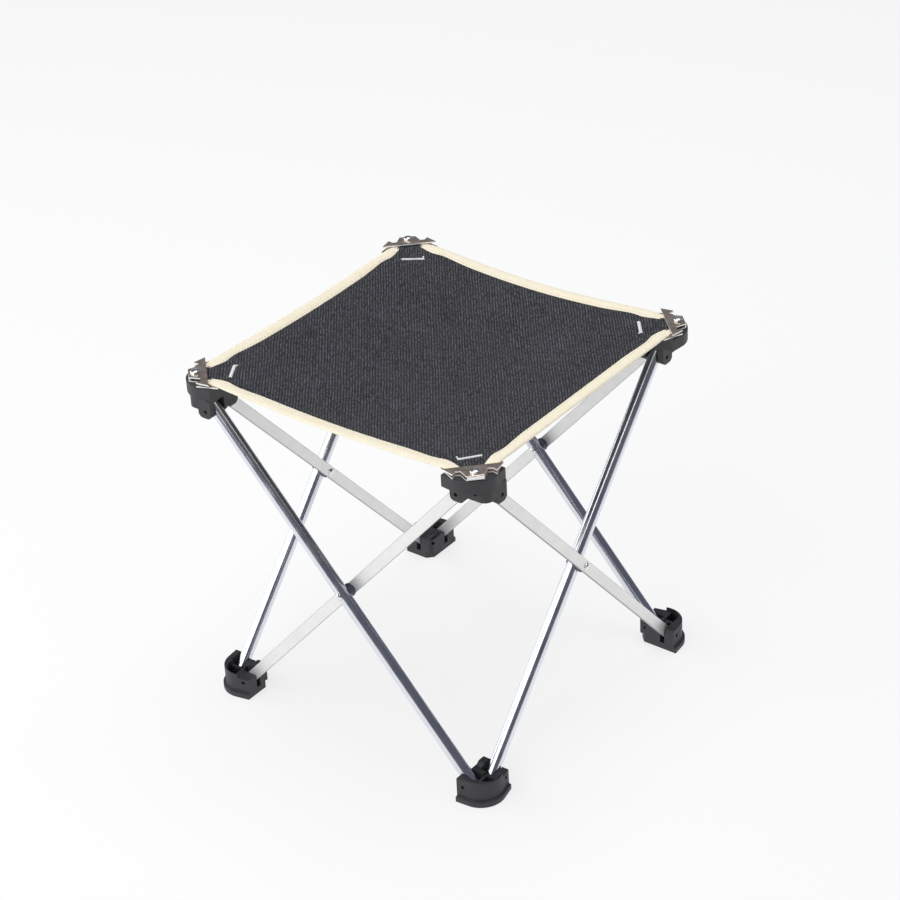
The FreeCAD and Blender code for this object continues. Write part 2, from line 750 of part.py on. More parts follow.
def seat_tab(corner):
    """The seat's corner: fabric over the hub and between the clamp's leaves."""
    body = new_body(f"seat_tab_{CORNERS[corner]}")
    half = mirrored_outline([
        ("-fold_line", f"{half_width(FABRIC_EDGE, 'fold_line')} - tab_inset"),
        ("-upper_inner", "tab_half"),
        ("tongue_out - plate_thick - seam_gap", "tongue_half - tab_inset"),
    ])
    pad(body, "Fabric", outline(body, "Outline", "XY_Plane", half), "fabric_thick")
    hole = circles(body, "HoleOutline", "XY_Plane", [("0", "0", "screw_rad + screw_hole_gap")])
    pocket(body, "Hole", hole, "fabric_thick", reverse=True)
    body.Placement = fabric_placement(corner)
    return body


def seat_panel(corner):
    """A quarter of the seat, from the fold line down to the seat's middle."""
    body = new_body(f"seat_panel_{CORNERS[corner]}")
    start = "-fold_line - seam_gap"
    quarter = mirrored_outline([
        seat_point("seam_gap * 2", "seam_gap * 2"),
        seat_point(FABRIC_EDGE, "seam_gap"),
        (start, half_width(FABRIC_EDGE, "fold_line")),
    ])[1:]
    pad(body, "Fabric", outline(body, "Outline", "XY_Plane", quarter), "fabric_thick")
    body.Placement = sloped(fabric_placement(corner))
    return body


def sloped(placement):
    """Tips a placement down towards the seat's middle about the fold line."""
    line = FreeCAD.Vector(-size("fold_line"), 0, 0)
    slope = FreeCAD.Rotation(FreeCAD.Vector(0, 1, 0), -size("seat_slope"))
    return placement.multiply(FreeCAD.Placement(line, slope)).multiply(
        FreeCAD.Placement(line * -1, FreeCAD.Rotation()))


def binding_strips(label, corner, corners, placement):
    """The edge tape on both sides of a corner: one strip and its mirror image."""
    strips = []
    for name, sign in (("a", ""), ("b", "-")):
        strip = new_body(f"{label}_{name}_{CORNERS[corner]}")
        points = [(along, f"{sign}({wide})") for along, wide in corners]
        pad(strip, "Tape", outline(strip, "Outline", "XY_Plane", points), "fabric_thick")
        strips.append(strip)
    node = doc.addObject("Part::Compound", f"{label}_{CORNERS[corner]}")
    node.Label = f"{label}_{CORNERS[corner]}"
    node.Links = strips
    node.Placement = placement
    return node


def panel_binding(corner):
    start = "-fold_line - seam_gap"
    strip = [
        (start, half_width(FABRIC_EDGE, "fold_line")),
        (start, half_width("seat_half", "fold_line")),
        seat_point("seat_half", "seam_gap"),
        seat_point(FABRIC_EDGE, "seam_gap"),
    ]
    return binding_strips("panel_binding", corner, strip, sloped(fabric_placement(corner)))


def tab_binding(corner):
    strip = [
        ("-fold_line", f"{half_width(FABRIC_EDGE, 'fold_line')} - tab_inset"),
        ("-fold_line", half_width("seat_half", "fold_line")),
        ("-upper_inner", half_width("seat_half", "upper_inner")),
        ("-plate_notch - tab_inset", "notch_out - tab_inset"),
        ("-upper_inner", "tab_half"),
    ]
    return binding_strips("tab_binding", corner, strip, fabric_placement(corner))


# ---- The stool ---------------------------------------------------------------------------


def build():
    nodes = []
    for corner in range(4):
        nodes += [hub(corner), foot(corner), hub_pins(corner), foot_pins(corner)]
        nodes += [clamp_plate(corner), clamp_screw(corner)]
        nodes += [seat_tab(corner), seat_panel(corner)]
        nodes += [tab_binding(corner), panel_binding(corner)]
    for side in range(4):
        nodes += [bar(side, "tube"), bar(side, "flat")]
        nodes += [crossing_rivet(side), crossing_spacer(side)]
    return nodes


def check(nodes):
    doc.recompute()
    for thing in doc.Objects:
        if "Invalid" in thing.State or "Error" in thing.State:
            raise ValueError(f"{thing.Name} failed: {thing.State}")
    for node in nodes:
        if node.Shape.isNull() or not node.Shape.isValid() or not node.Shape.Solids:
            raise ValueError(f"{node.Label} has no valid solid")


nodes = build()
check(nodes)
os.makedirs("parts", exist_ok=True)
for node in nodes:
    node.Shape.exportStep(f"parts/{node.Label}.step")
print(len(nodes), "nodes written")
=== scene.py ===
import json
import math

import bmesh
import bpy
from mathutils import Matrix, Vector

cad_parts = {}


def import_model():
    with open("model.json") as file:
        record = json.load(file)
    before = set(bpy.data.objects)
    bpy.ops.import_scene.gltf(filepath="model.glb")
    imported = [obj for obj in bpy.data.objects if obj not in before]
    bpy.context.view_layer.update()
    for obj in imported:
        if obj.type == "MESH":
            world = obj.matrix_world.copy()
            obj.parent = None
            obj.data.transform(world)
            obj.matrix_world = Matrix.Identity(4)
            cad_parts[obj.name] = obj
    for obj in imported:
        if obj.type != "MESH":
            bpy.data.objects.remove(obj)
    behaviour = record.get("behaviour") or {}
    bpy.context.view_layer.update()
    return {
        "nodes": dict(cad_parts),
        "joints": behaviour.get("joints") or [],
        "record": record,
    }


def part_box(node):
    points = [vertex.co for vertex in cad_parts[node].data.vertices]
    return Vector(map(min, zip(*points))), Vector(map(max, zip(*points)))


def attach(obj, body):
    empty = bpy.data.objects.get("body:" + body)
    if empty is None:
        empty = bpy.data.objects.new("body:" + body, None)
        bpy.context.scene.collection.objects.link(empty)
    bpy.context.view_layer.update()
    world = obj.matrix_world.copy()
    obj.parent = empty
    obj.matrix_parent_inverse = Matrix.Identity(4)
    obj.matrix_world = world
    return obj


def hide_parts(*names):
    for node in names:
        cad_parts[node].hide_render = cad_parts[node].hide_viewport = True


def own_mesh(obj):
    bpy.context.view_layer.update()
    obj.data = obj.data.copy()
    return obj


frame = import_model()

MM = 0.001
CORNERS = ["front", "right", "back", "left"]
UP = Vector((0, 0, 1))

# Seat layout, worked out from the frame. A corner's own plan has "out" along its diagonal,
# measured from the clamp screw, and "wide" across it. The sag ends at SAG_REACH from the middle
# line. SAG_SIDE is how far the edges that face X and Y hang at mid side, and SAG_MIDDLE how far
# the middle of the seat does.
JOINTS = {joint["name"]: joint for joint in frame["joints"]}
FOLD_AT = Vector(JOINTS["seat_fold_front"]["pos_m"])
FABRIC_Z = FOLD_AT.z
FABRIC_THICK = 0.9 * MM
SCREW_X = sum(corner.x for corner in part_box("clamp_screw_front")) / 2
SCREW_DIAGONAL = SCREW_X * math.sqrt(2)
EDGE_HALF = SCREW_X + 4.9 * MM
EDGE_INSET = 1.4 * MM
SAG_REACH = 104 * MM
SAG_POWER = 1.35
SAG_MIDDLE = 13.0 * MM
SAG_SIDE = {"x": 1.0 * MM, "y": 4.2 * MM}
GRID_STEPS = 72


# ---- Helpers -------------------------------------------------------------------------------


def quarter_turn(corner):
    """Turns a piece drawn at the front corner to its own corner."""
    return Matrix.Rotation(math.radians(90 * corner), 4, "Z")


def diagonal(corner=0):
    angle = math.radians(90 * corner - 45)
    return Vector((math.cos(angle), math.sin(angle), 0))


def plan(out, wide):
    """A point in the front corner's own plan, as the stool's X and Y."""
    along = diagonal()
    across = UP.cross(along)
    point = along * (SCREW_DIAGONAL + out) + across * wide
    return point.x, point.y


def link_object(name, data):
    obj = bpy.data.objects.new(name, data)
    bpy.context.scene.collection.objects.link(obj)
    return obj


def mesh_object(name, mesh, materials):
    for material in materials:
        mesh.materials.append(material)
    return link_object(name, mesh)


def object_from_faces(name, vertices, faces, material):
    mesh = bpy.data.meshes.new(name)
    mesh.from_pydata([tuple(v) for v in vertices], [], [tuple(f) for f in faces])
    mesh.validate()
    mesh.update()
    return mesh_object(name, mesh, [material])


def smooth_by_angle(obj, degrees=40):
    """Smooth shading with sharp edges kept where faces meet at more than an angle."""
    mesh = obj.data
    mesh.shade_smooth()
    limit = math.radians(degrees)
    bm = bmesh.new()
    bm.from_mesh(mesh)
    for edge in bm.edges:
        if len(edge.link_faces) == 2 and edge.calc_face_angle(0) > limit:
            edge.smooth = False
    bm.to_mesh(mesh)
    bm.free()


def loft(rings):
    """Vertices and faces of a closed tube through rings of equally many points each."""
    count = len(rings[0])
    vertices = [point for ring in rings for point in ring]
    faces = []
    for i in range(len(rings) - 1):
        for j in range(count):
            k = (j + 1) % count
            faces.append((i * count + j, i * count + k, (i + 1) * count + k, (i + 1) * count + j))
    faces.append(tuple(reversed(range(count))))
    faces.append(tuple((len(rings) - 1) * count + j for j in range(count)))
    return vertices, faces


def eased(value, start, end):
    """0 before the start, 1 after the end, and smooth between them."""
    share = min(1.0, max(0.0, (value - start) / (end - start)))
    return share * share * (3 - 2 * share)


# ---- Materials -----------------------------------------------------------------------------


class Nodes:
    """Builds one procedural material on a Principled shader."""

    def __init__(self, name, color, metallic=0.0, roughness=0.5, **sockets):
        self.material = bpy.data.materials.new(name)
        self.material.use_nodes = True
        self.tree = self.material.node_tree
        self.shader = self.tree.nodes["Principled BSDF"]
        self.shader.inputs["Base Color"].default_value = (*color, 1)
        self.shader.inputs["Metallic"].default_value = metallic
        self.shader.inputs["Roughness"].default_value = roughness
        for socket, value in sockets.items():
            self.shader.inputs[socket.replace("_", " ")].default_value = value

    def add(self, kind, inputs=None, **settings):
        node = self.tree.nodes.new(kind)
        for key, value in settings.items():
            setattr(node, key, value)
        for key, value in (inputs or {}).items():
            if isinstance(value, bpy.types.NodeSocket):
                self.tree.links.new(value, node.inputs[key])
            else:
                node.inputs[key].default_value = value
        return node

    def place(self, scale=(1, 1, 1), rotation=(0, 0, 0)):
        """Object coordinates in millimetres, turned and scaled."""
        coordinates = self.add("ShaderNodeTexCoord")
        turned = self.add(
            "ShaderNodeMapping",
            {"Vector": coordinates.outputs["Object"], "Rotation": rotation},
        )
        scaled = self.add(
            "ShaderNodeVectorMath",
            {0: turned.outputs["Vector"], 1: tuple(1000 * s for s in scale)},
            operation="MULTIPLY",
        )
        return scaled.outputs["Vector"]

    def noise(self, vector, scale, detail=3.0, roughness=0.5):
        node = self.add(
            "ShaderNodeTexNoise",
            {"Vector": vector, "Scale": scale, "Detail": detail, "Roughness": roughness},
        )
        return node.outputs["Fac"]

    def math(self, operation, a, b=0.0):
        return self.add("ShaderNodeMath", {0: a, 1: b}, operation=operation).outputs["Value"]

    def times(self, value, factor):
        return self.math("MULTIPLY", value, factor)

    def waves(self, value, pitch_mm):
        """Even waves from -1 to 1 along a length in millimetres."""
        return self.math("SINE", self.times(value, 2 * math.pi / pitch_mm))

    def remap(self, value, low, high, new_low, new_high):
        node = self.add(
            "ShaderNodeMapRange",
            {
                "Value": value,
                "From Min": low,
                "From Max": high,
                "To Min": new_low,
                "To Max": new_high,
            },
        )
        return node.outputs["Result"]

    def mix(self, factor, a, b):
        node = self.add("ShaderNodeMix", {"Factor": factor}, data_type="RGBA")
        ends = [one for one in node.inputs if one.name in "AB" and one.type == "RGBA"]
        for socket, value in zip(ends, (a, b)):
            if isinstance(value, bpy.types.NodeSocket):
                self.tree.links.new(value, socket)
            else:
                socket.default_value = (*value, 1)
        return [one for one in node.outputs if one.type == "RGBA"][0]

    def mottle(self, factor, low, high, a, b):
        """Mixes two colours as a noise goes from low to high."""
        return self.mix(self.remap(factor, low, high, 0.0, 1.0), a, b)

    def facing(self):
        """How squarely a face looks along each of the object's axes, 0 to 1."""
        coordinates = self.add("ShaderNodeTexCoord")
        split = self.add("ShaderNodeSeparateXYZ", {"Vector": coordinates.outputs["Normal"]})
        return [self.math("ABSOLUTE", split.outputs[axis]) for axis in "XYZ"]

    def color(self, socket):
        self.tree.links.new(socket, self.shader.inputs["Base Color"])

    def metallic(self, socket):
        self.tree.links.new(socket, self.shader.inputs["Metallic"])

    def roughness(self, socket):
        self.tree.links.new(socket, self.shader.inputs["Roughness"])

    def bump(self, height, distance_mm, strength=1.0):
        node = self.add(
            "ShaderNodeBump",
            {"Height": height, "Distance": distance_mm * MM, "Strength": strength},
        )
        self.tree.links.new(node.outputs["Normal"], self.shader.inputs["Normal"])


def moulded_plastic(name, color, roughness):
    """Black nylon with a fine spark-eroded texture and slightly worn, paler patches."""
    made = Nodes(name, color, roughness=roughness, Specular_IOR_Level=0.42)
    place = made.place()
    grain = made.noise(place, 2.4, 2.0)
    cloud = made.noise(place, 0.12, 3.0)
    paler = tuple(c * 1.5 for c in color)
    made.color(made.mix(made.remap(cloud, 0.35, 0.75, 0.0, 0.8), color, paler))
    made.roughness(made.remap(cloud, 0.3, 0.7, roughness - 0.06, roughness + 0.08))
    made.bump(grain, 0.05, 0.5)
    return made.material


def polished_tube():
    """Drawn aluminium tube: polished, with faint marks and a cool tint."""
    made = Nodes("tube_aluminium", (0.74, 0.76, 0.82), metallic=1.0, roughness=0.12)
    place = made.place()
    cloud = made.noise(place, 0.06, 4.0)
    fine = made.noise(place, 1.6, 2.0)
    made.color(made.mottle(cloud, 0.3, 0.7, (0.72, 0.74, 0.80), (0.80, 0.82, 0.87)))
    made.roughness(made.remap(cloud, 0.35, 0.7, 0.15, 0.24))
    made.bump(fine, 0.004, 0.2)
    return made.material


def satin_bar():
    """Aluminium flat bar with a satin finish and fine marks, with painted shade on its narrow
    faces.
    """
    made = Nodes("bar_aluminium", (0.86, 0.86, 0.84), metallic=0.6, roughness=0.42)
    place = made.place()
    cloud = made.noise(place, 0.08, 4.0)
    fine = made.noise(place, 2.2, 3.0)
    face = made.mottle(cloud, 0.3, 0.7, (0.83, 0.83, 0.81), (0.89, 0.89, 0.87))
    # Painted shade: faces that look along neither X nor Y, the bar's narrow faces, are coloured
    # dark grey.
    facing = made.facing()
    squarely = made.math("MAXIMUM", facing[0], facing[1])
    edge = made.remap(squarely, 0.85, 0.97, 1.0, 0.0)
    made.color(made.mix(edge, face, (0.34, 0.33, 0.35)))
    made.roughness(made.remap(fine, 0.3, 0.7, 0.36, 0.48))
    made.bump(fine, 0.008, 0.25)
    return made.material


def clamp_sheet():
    """Stainless sheet with a warm cast and small scratches, with a painted highlight on its cut
    edges.
    """
    made = Nodes("clamp_steel", (0.60, 0.56, 0.52), metallic=0.85, roughness=0.24)
    place = made.place(scale=(1, 8, 1), rotation=(0, 0, math.radians(30)))
    scratches = made.noise(place, 0.8, 5.0)
    cloud = made.noise(made.place(), 0.15, 3.0)
    sheet = made.mottle(cloud, 0.35, 0.65, (0.52, 0.41, 0.33), (0.76, 0.66, 0.57))
    # Painted highlight: faces that look neither up nor down, the cut edges, are coloured near
    # white and made less metallic.
    cut = made.remap(made.facing()[2], 0.3, 0.6, 1.0, 0.0)
    made.color(made.mix(cut, sheet, (0.97, 0.96, 0.94)))
    made.metallic(made.remap(cut, 0.0, 1.0, 0.85, 0.15))
    made.roughness(made.remap(scratches, 0.3, 0.7, 0.20, 0.32))
    made.bump(scratches, 0.002, 0.2)
    return made.material


def plated_steel(name, color, roughness):
    """Smooth plated steel, a little uneven."""
    made = Nodes(name, color, metallic=1.0, roughness=roughness)
    cloud = made.noise(made.place(), 0.7, 3.0)
    made.roughness(made.remap(cloud, 0.3, 0.7, roughness * 0.8, roughness * 1.3))
    made.bump(cloud, 0.004, 0.2)
    return made.material


# Pitches in millimetres, as in Nodes.waves, and the ribs' turn in degrees.
RIB_PITCH = 2.1
FINE_RIB_PITCH = 0.7
WEFT_PITCH = 0.9
WEFT_STEP = 3.7
RIB_TURN = 51.8
RIB_WANDER = 1.6
STREAK_STRETCH = (0.20, 0.62, 0.20)
TWILL_PITCH = 0.75


def ribbed_weave():
    """Black polyester with a dull sheen: ribs near the diagonal, broken by the weft, with a
    painted highlight on the rib crests and painted shade in the valleys.
    """
    made = Nodes(
        "seat_fabric", (0.024, 0.024, 0.028), roughness=0.78, Sheen_Weight=0.05,
        Sheen_Roughness=0.45, Specular_IOR_Level=0.25)
    place = made.place(rotation=(0, 0, math.radians(RIB_TURN)))
    wander = made.noise(place, 0.05, 2.0)
    split = made.add("ShaderNodeSeparateXYZ", {"Vector": place})
    across = made.math("ADD", split.outputs["Y"], made.times(wander, RIB_WANDER))
    rib = made.waves(across, RIB_PITCH)
    fine_rib = made.waves(across, FINE_RIB_PITCH)
    # The weft starts at another place in each rib, so that it doesn't line up across them.
    rib_number = made.math("FLOOR", made.math("DIVIDE", across, RIB_PITCH))
    along = made.math("ADD", split.outputs["X"], made.times(rib_number, WEFT_STEP))
    weft = made.waves(along, WEFT_PITCH)
    stretch = made.add(
        "ShaderNodeVectorMath", {0: place, 1: STREAK_STRETCH}, operation="MULTIPLY")
    streak = made.noise(stretch.outputs["Vector"], 1.6, 3.0)
    # Painted highlight: the rib crests, broken up by streaks, are coloured a lighter grey.
    crest = made.remap(rib, -1.0, 1.0, 0.0, 1.0)
    broken = made.math("MULTIPLY", crest, made.remap(streak, 0.40, 0.60, 0.05, 1.0))
    cloud = made.noise(made.place(), 0.025, 3.0)
    base = made.mottle(cloud, 0.35, 0.65, (0.019, 0.019, 0.023), (0.027, 0.027, 0.032))
    with_painted_crest_highlight = made.mix(made.times(broken, 0.9), base, (0.120, 0.121, 0.134))
    # Painted shade: the rib valleys, less where streaks run, are darkened to near black.
    valley = made.remap(rib, -1.0, -0.4, 1.0, 0.0)
    painted_valley_shade = made.math("MULTIPLY", valley, made.remap(streak, 0.4, 0.6, 1.0, 0.1))
    made.color(made.mix(made.times(painted_valley_shade, 0.75), with_painted_crest_highlight, (0.008, 0.008, 0.010)))
    height = made.math("ADD", made.times(rib, 0.5), made.times(fine_rib, 0.16))
    height = made.math("ADD", height, made.times(weft, 0.14))
    made.bump(height, 0.22, 0.8)
    return made.material


def woven_tape():
    """Cream edge tape with a small twill and a warmer tone in places."""
    made = Nodes(
        "edge_binding", (0.86, 0.80, 0.63), roughness=0.85, Sheen_Weight=0.12,
        Specular_IOR_Level=0.3)
    place = made.place()
    split = made.add("ShaderNodeSeparateXYZ", {"Vector": place})
    plus = made.math("ADD", split.outputs["X"], split.outputs["Y"])
    minus = made.math("SUBTRACT", split.outputs["X"], split.outputs["Y"])
    weave = made.math(
        "MULTIPLY", made.waves(plus, TWILL_PITCH), made.waves(minus, TWILL_PITCH))
    cloud = made.noise(place, 0.07, 4.0)
    speck = made.noise(place, 0.9, 2.0)
    base = made.mottle(cloud, 0.35, 0.65, (0.92, 0.83, 0.63), (0.93, 0.86, 0.69))
    warm = made.mix(made.remap(speck, 0.5, 0.75, 0.0, 0.35), base, (0.90, 0.76, 0.55))
    made.color(warm)
    made.bump(weave, 0.06, 0.5)
    return made.material


def thread(name, color):
    """Twisted sewing thread."""
    made = Nodes(name, color, roughness=0.6, Sheen_Weight=0.2)
    twist = made.noise(made.place(scale=(1, 1, 3)), 1.5, 2.0)
    made.color(made.mottle(twist, 0.3, 0.7, tuple(c * 0.8 for c in color), color))
    made.bump(twist, 0.05, 0.5)
    return made.material


# The finishes of the CAD nodes, by slot.
MATERIALS = {
    "hub_plastic": moulded_plastic("hub_plastic", (0.032, 0.032, 0.034), 0.50),
    "foot_plastic": moulded_plastic("foot_plastic", (0.030, 0.030, 0.034), 0.52),
    "spacer_plastic": moulded_plastic("spacer_plastic", (0.045, 0.050, 0.075), 0.34),
    "tube_aluminium": polished_tube(),
    "bar_aluminium": satin_bar(),
    "clamp_steel": clamp_sheet(),
    "screw_steel": plated_steel("screw_steel", (0.90, 0.90, 0.90), 0.24),
    "rivet_steel": plated_steel("rivet_steel", (0.80, 0.80, 0.82), 0.18),
    "pin_steel": plated_steel("pin_steel", (0.05, 0.05, 0.055), 0.45),
}
FABRIC = ribbed_weave()
TAPE = woven_tape()
TAPE_THREAD = thread("binding_thread", (0.86, 0.79, 0.62))
WHITE_THREAD = thread("tack_thread", (0.92, 0.92, 0.90))


def finish_cad_nodes():
    """Gives each CAD node that stays in view the finish of its own slot."""
    for subpart in frame["record"]["subparts"]:
        slot = subpart["material_slot"]
        if slot in MATERIALS:
            materials = frame["nodes"][subpart["node"]].data.materials
            materials.clear()
            materials.append(MATERIALS[slot])


# ---- Seat surface --------------------------------------------------------------------------

# The tab's outline beside the screw, in millimetres of the corner's plan: each cut is a point on
# it and its outward direction, both as (out, wide). The side cuts are mirrored.
TAB_END_CUT = (3.3, 0), (1, 0)
TAB_SIDE_CUTS = [((-9.5, 13.5), (6.5, 6.0)), ((-4.5, 7.6), (3.4, 8.0))]
FABRIC_INSIDE_TAPE = 1.2 * MM
FABRIC_SHARP_ANGLE = 40


def slack(t):
    """How much of the sag is left at a share of the way from the middle to a corner."""
    t = min(abs(t), 1.0)
    return (1 - t * t) ** SAG_POWER


def seat_z(x, y):
    """Height of the middle of the fabric over a point, hanging between four corners."""
    by_x = slack(x / SAG_REACH)
    by_y = slack(y / SAG_REACH)
    extra = SAG_MIDDLE - SAG_SIDE["x"] - SAG_SIDE["y"]
    inside = max(0.0, 1 - (x / EDGE_HALF) ** 2) * max(0.0, 1 - (y / EDGE_HALF) ** 2)
    return FABRIC_Z - SAG_SIDE["x"] * by_y - SAG_SIDE["y"] * by_x - extra * inside


def edge_distance(along):
    """How far the seat's edge is from the middle line, at a distance along the side."""
    return EDGE_HALF - EDGE_INSET * slack(along / SAG_REACH)


def keep_side(bm, point, normal):
    """Cuts away what lies beyond a plane, on the side that its normal points to."""
    geometry = bm.verts[:] + bm.edges[:] + bm.faces[:]
    bmesh.ops.bisect_plane(
        bm, geom=geometry, dist=1e-7, plane_co=point, plane_no=normal, clear_outer=True)


def fabric_grid(corner):
    """The seat's surface over one quarter, drawn at the front corner's place."""
    bm = bmesh.new()
    turn = quarter_turn(corner)
    rows = []
    for i in range(GRID_STEPS + 1):
        row = []
        for j in range(GRID_STEPS + 1):
            p, q = i / GRID_STEPS, j / GRID_STEPS
            x = p * (edge_distance(q * EDGE_HALF) - FABRIC_INSIDE_TAPE)
            y = q * (edge_distance(p * EDGE_HALF) - FABRIC_INSIDE_TAPE)
            place = turn @ Vector((x, -y, 0))
            row.append(bm.verts.new((x, -y, seat_z(place.x, place.y))))
        rows.append(row)
    for i in range(GRID_STEPS):
        for j in range(GRID_STEPS):
            bm.faces.new((rows[i][j], rows[i][j + 1], rows[i + 1][j + 1], rows[i + 1][j]))
    bmesh.ops.recalc_face_normals(bm, faces=bm.faces[:])
    if bm.faces[0].normal.z < 0:
        bmesh.ops.reverse_faces(bm, faces=bm.faces[:])
    return bm


def thicken(bm):
    """Turns the surface into closed cloth, half its thickness above and half below."""
    bottom = {v: bm.verts.new(v.co - UP * FABRIC_THICK) for v in bm.verts[:]}
    border = [e for e in bm.edges if e.is_boundary]
    for face in bm.faces[:]:
        bm.faces.new([bottom[v] for v in reversed(face.verts[:])])
    for edge in border:
        face = edge.link_faces[0]
        loop = [one for one in face.loops if one.edge == edge][0]
        a, b = loop.vert, loop.link_loop_next.vert
        bm.faces.new((b, a, bottom[a], bottom[b]))
    for vertex in bm.verts:
        vertex.co.z += FABRIC_THICK / 2


def seat_piece(name, corner, bm, materials, sharp_angle, node, body):
    """A shape drawn at the front corner, turned to its own corner in place of a CAD node."""
    bm.transform(quarter_turn(corner))
    mesh = bpy.data.meshes.new(name)
    bm.to_mesh(mesh)
    bm.free()
    obj = mesh_object(name, mesh, materials)
    smooth_by_angle(obj, sharp_angle)
    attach(obj, body)
    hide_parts(node)
    return obj


def fabric_piece(name, corner, bm, node, body):
    """Closed cloth at its own corner, made from a surface drawn at the front corner."""
    thicken(bm)
    obj = seat_piece(name, corner, bm, [FABRIC], FABRIC_SHARP_ANGLE, node, body)
    return obj


def plane_at(point, outward):
    """A cutting plane in the front corner's plan: a point on it and its outward normal."""
    x, y = plan(point[0] * MM, point[1] * MM)
    along = diagonal()
    across = UP.cross(along)
    return Vector((x, y, FABRIC_Z)), (along * outward[0] + across * outward[1]).normalized()


def tab_cuts():
    """Planes that shape the fabric between the clamp's leaves, on both sides of the screw."""
    cuts = [plane_at(*TAB_END_CUT)]
    for sign in (1, -1):
        for point, outward in TAB_SIDE_CUTS:
            cuts.append(plane_at((point[0], sign * point[1]), (outward[0], sign * outward[1])))
    return cuts


# ---- Edge tape -----------------------------------------------------------------------------

TAPE_WIDE = 10.4 * MM
TAPE_WIDE_AT_CLAMP = 8.4 * MM
TAPE_THICK = 2.3 * MM
TAPE_IN_CLAMP = 1.1 * MM
TAPE_SHARP_ANGLE = 50

# Lengths along a side, from its middle: the tape narrows slowly towards the clamp, swells inwards
# just before it, and its inner edge then turns away round the corner. The tucked steps are the
# end of the tape, between the clamp's leaves.
TAPE_STEPS = 60
TAPE_STRAIGHT = 108 * MM
NARROWING = (60 * MM, 98 * MM)
BULGE = 2.2 * MM
BULGE_AT = 101 * MM
BULGE_SPREAD = 8 * MM
CLOSING_FROM = 97 * MM
CLOSING_SPREAD = 11 * MM
CLOSING_SHIFT = (1.0 * MM, 5.0 * MM)
BULGE_LOST = 0.7
TUCK_STEPS = 5
TUCK_INSET = 0.3 * MM
TUCK_OUTER = 7.5 * MM
TUCK_INNER = (3.6 * MM, 4.8 * MM)

# Where the tape thins on its way into the clamp, as "out" in the corner's plan.
THINS_BELOW = (-22 * MM, -16.5 * MM)
THINS_ABOVE = (-13.5 * MM, -9.5 * MM)

STITCH_IN = 0.19
STITCH_PITCH = 3.1 * MM
STITCH_LENGTH = 2.2 * MM
STITCH_START = 0.5 * MM
STITCH_FREE_END = 14 * MM
STITCH_RADIUS = 0.24 * MM
STITCH_ARCH = 0.22 * MM
THREAD_SIDES = 6
THREAD_PROFILE = [(0.0, 0.35), (0.12, 0.8), (0.35, 1.0), (0.65, 1.0), (0.88, 0.8), (1.0, 0.35)]


def tape_stations(side):
    """Pairs of outer and inner points of the tape along one edge, from mid side to the clamp."""
    stations = []
    for i in range(TAPE_STEPS + 1):
        along = TAPE_STRAIGHT * i / TAPE_STEPS
        bulge = BULGE * math.exp(-(((along - BULGE_AT) / BULGE_SPREAD) ** 2))
        closing = max(0.0, (along - CLOSING_FROM) / CLOSING_SPREAD) ** 2
        narrowed = (TAPE_WIDE - TAPE_WIDE_AT_CLAMP) * eased(along, *NARROWING)
        outer = (edge_distance(along), along)
        inner_x = outer[0] - TAPE_WIDE + narrowed - bulge * (1 - closing * BULGE_LOST)
        inner = (inner_x + closing * CLOSING_SHIFT[0], along + closing * CLOSING_SHIFT[1])
        stations.append((outer, inner))
    last_x, last_along = inner
    for step in range(1, TUCK_STEPS + 1):
        share = step / TUCK_STEPS
        outer = (EDGE_HALF - TUCK_INSET, TAPE_STRAIGHT + share * TUCK_OUTER)
        inner = (last_x + share * TUCK_INNER[0], last_along + share * TUCK_INNER[1])
        stations.append((outer, inner))
    if side == "y":
        stations = [((o[1], o[0]), (i[1], i[0])) for o, i in stations]
    return [(Vector((o[0], -o[1], 0)), Vector((i[0], -i[1], 0))) for o, i in stations]


def tape_section():
    """Cross-section from the inner edge over the top: (share of width, share of thickness)."""
    top = [(0.0, 0.20), (0.03, 0.36), (0.10, 0.42), (STITCH_IN, 0.33), (0.28, 0.44), (0.5, 0.50),
           (0.75, 0.49), (0.9, 0.42), (0.97, 0.27), (1.0, 0.0)]
    under = [(share, -height) for share, height in reversed(top[:-1])]
    return top + under


def tape_rings(corner, side):
    """The tape's cross-sections along one edge, with a slight ripple outside the clamp."""
    turn = quarter_turn(corner)
    rings = []
    for number, (outer, inner) in enumerate(tape_stations(side)):
        along_diagonal = outer.dot(diagonal()) - SCREW_DIAGONAL
        below = eased(along_diagonal, *THINS_BELOW)
        above = eased(along_diagonal, *THINS_ABOVE)
        under = TAPE_THICK + (TAPE_IN_CLAMP - TAPE_THICK) * below
        over = TAPE_THICK + (TAPE_IN_CLAMP - TAPE_THICK) * above
        ripple = 0.05 * math.sin(number * 1.9) + 0.04 * math.sin(number * 0.77 + corner)
        ring = []
        for share, height in tape_section():
            point = inner.lerp(outer, share)
            place = turn @ point
            thick = over if height > 0 else under
            point.z = seat_z(place.x, place.y) + thick * height * (1 + ripple * (1 - below))
            ring.append(point)
        rings.append(ring)
    return rings


def capsule(start, end, radius, arch):
    """A short thread from start to end, its ends dipping into the cloth."""
    along = end - start
    across = along.cross(UP).normalized()
    rise = across.cross(along).normalized()
    rings = []
    for share, size in THREAD_PROFILE:
        middle = start + along * share + rise * arch * math.sin(math.pi * share)
        ring = []
        for j in range(THREAD_SIDES):
            angle = 2 * math.pi * j / THREAD_SIDES
            spoke = across * math.cos(angle) + rise * math.sin(angle)
            ring.append(middle + spoke * radius * size)
        rings.append(ring)
    return loft(rings)


def add_part(parts, part):
    """Adds one part's vertices and faces to those of a growing whole."""
    vertices, faces = parts
    shift = len(vertices)
    vertices.extend(part[0])
    faces.extend(tuple(index + shift for index in face) for face in part[1])


